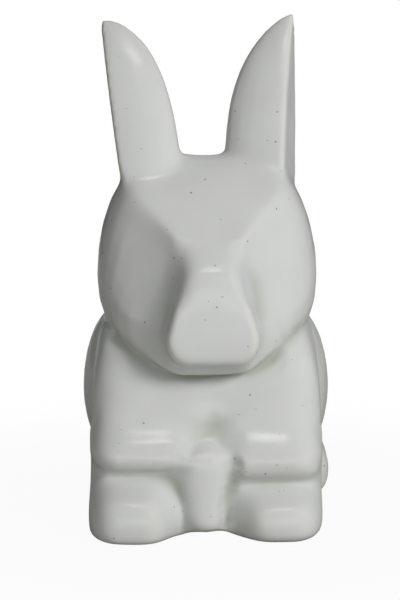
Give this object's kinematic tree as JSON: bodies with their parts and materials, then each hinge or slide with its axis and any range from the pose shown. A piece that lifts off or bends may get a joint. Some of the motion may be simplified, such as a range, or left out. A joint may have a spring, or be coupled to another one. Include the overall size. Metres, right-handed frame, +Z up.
{
  "type": "rabbit figurine",
  "caption": "White glazed ceramic rabbit ornament, crouching with its forepaws tucked under the chest and its ears up, stuck together from separate hollow castings and solid pressings",
  "frame": {"origin": "on the table, under the middle of the figure", "axes": "+Z up, the rabbit faces -Y, its left side is +X"},
  "size_m": [0.0828, 0.112, 0.1598],
  "materials": {
    "glaze": "white satin-gloss glaze with a few small dark pinholes"
  },
  "bodies": {
    "root": {"torso": "glaze", "head": "glaze", "left_ear": "glaze", "right_ear": "glaze", "left_foreleg": "glaze", "right_foreleg": "glaze", "left_haunch": "glaze", "right_haunch": "glaze", "left_hind_foot": "glaze", "right_hind_foot": "glaze", "tail": "glaze"}
  },
  "joints": []
}
